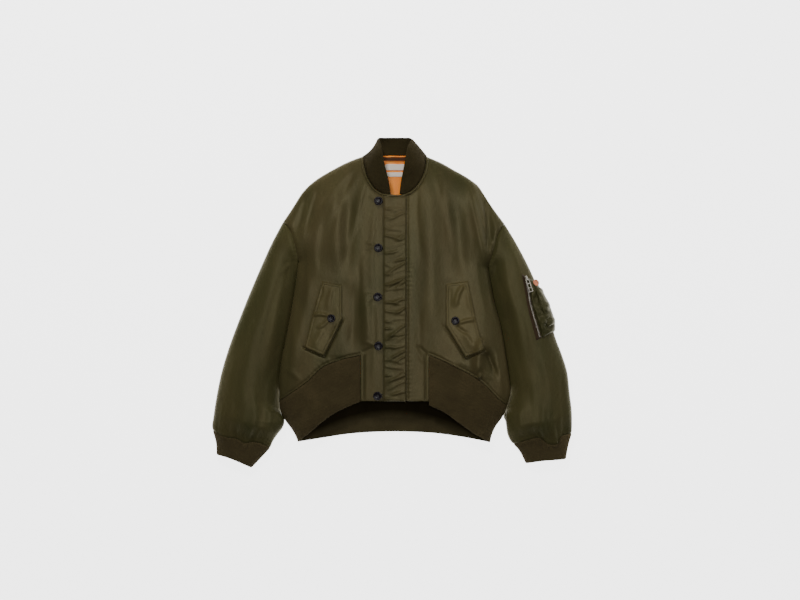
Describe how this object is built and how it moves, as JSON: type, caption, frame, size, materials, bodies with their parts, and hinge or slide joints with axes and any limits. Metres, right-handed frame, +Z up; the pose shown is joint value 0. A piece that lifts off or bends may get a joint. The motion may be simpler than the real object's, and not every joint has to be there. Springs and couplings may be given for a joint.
{
  "type": "bomber jacket",
  "caption": "Button-front bomber jacket laid flat on its back, with ribbed collar, cuffs and hem, flap pockets and a zipped sleeve pocket with a swinging pull.",
  "frame": {"origin": "centre of the bounding box in plan, on the surface that the jacket lies on", "axes": "+X towards the wearer's left, which is the right of the picture; +Y towards the collar; +Z up, out of the surface"},
  "size_m": [0.845, 0.7736, 0.0405],
  "materials": {
    "nylon": "dark olive nylon with a soft sheen",
    "rib_knit": "matte dark brown rib knit",
    "orange_lining": "orange lining",
    "label_cloth": "off-white woven label",
    "horn": "glossy purple black",
    "cord": "matte cord",
    "zip_metal": "worn nickel"
  },
  "bodies": {
    "jacket": {"back_panel": "nylon", "right_front": "nylon", "left_front": "nylon", "front_placket": "nylon", "right_sleeve": "nylon", "left_sleeve": "nylon", "right_pocket_flap": "nylon", "left_pocket_flap": "nylon", "sleeve_pocket": "nylon", "pen_pocket": "nylon", "hanger_loop": "nylon", "collar": "rib_knit", "right_cuff": "rib_knit", "left_cuff": "rib_knit", "back_hem_rib": "rib_knit", "right_hem_rib": "rib_knit", "left_hem_rib": "rib_knit", "back_lining": "orange_lining", "sleeve_tab": "orange_lining", "neck_label": "label_cloth", "size_label": "label_cloth", "front_button_1": "horn", "front_button_2": "horn", "front_button_3": "horn", "front_button_4": "horn", "front_button_5": "horn", "right_flap_button": "horn", "left_flap_button": "horn", "button_loop_1": "cord", "button_loop_2": "cord", "button_loop_3": "cord", "button_loop_4": "cord", "button_loop_5": "cord", "sleeve_zip_chain": "zip_metal", "sleeve_zip_slider": "zip_metal"},
    "zip_pull": {"sleeve_zip_pull": "zip_metal"}
  },
  "joints": [
    {"name": "zip_pull_hinge", "type": "hinge", "parent": "jacket", "child": "zip_pull", "pos_m": [0.31398, 0.05947, 0.03309], "axis": [-0.9015, -0.2881, 0.323], "range_deg": [0, 150]}
  ]
}
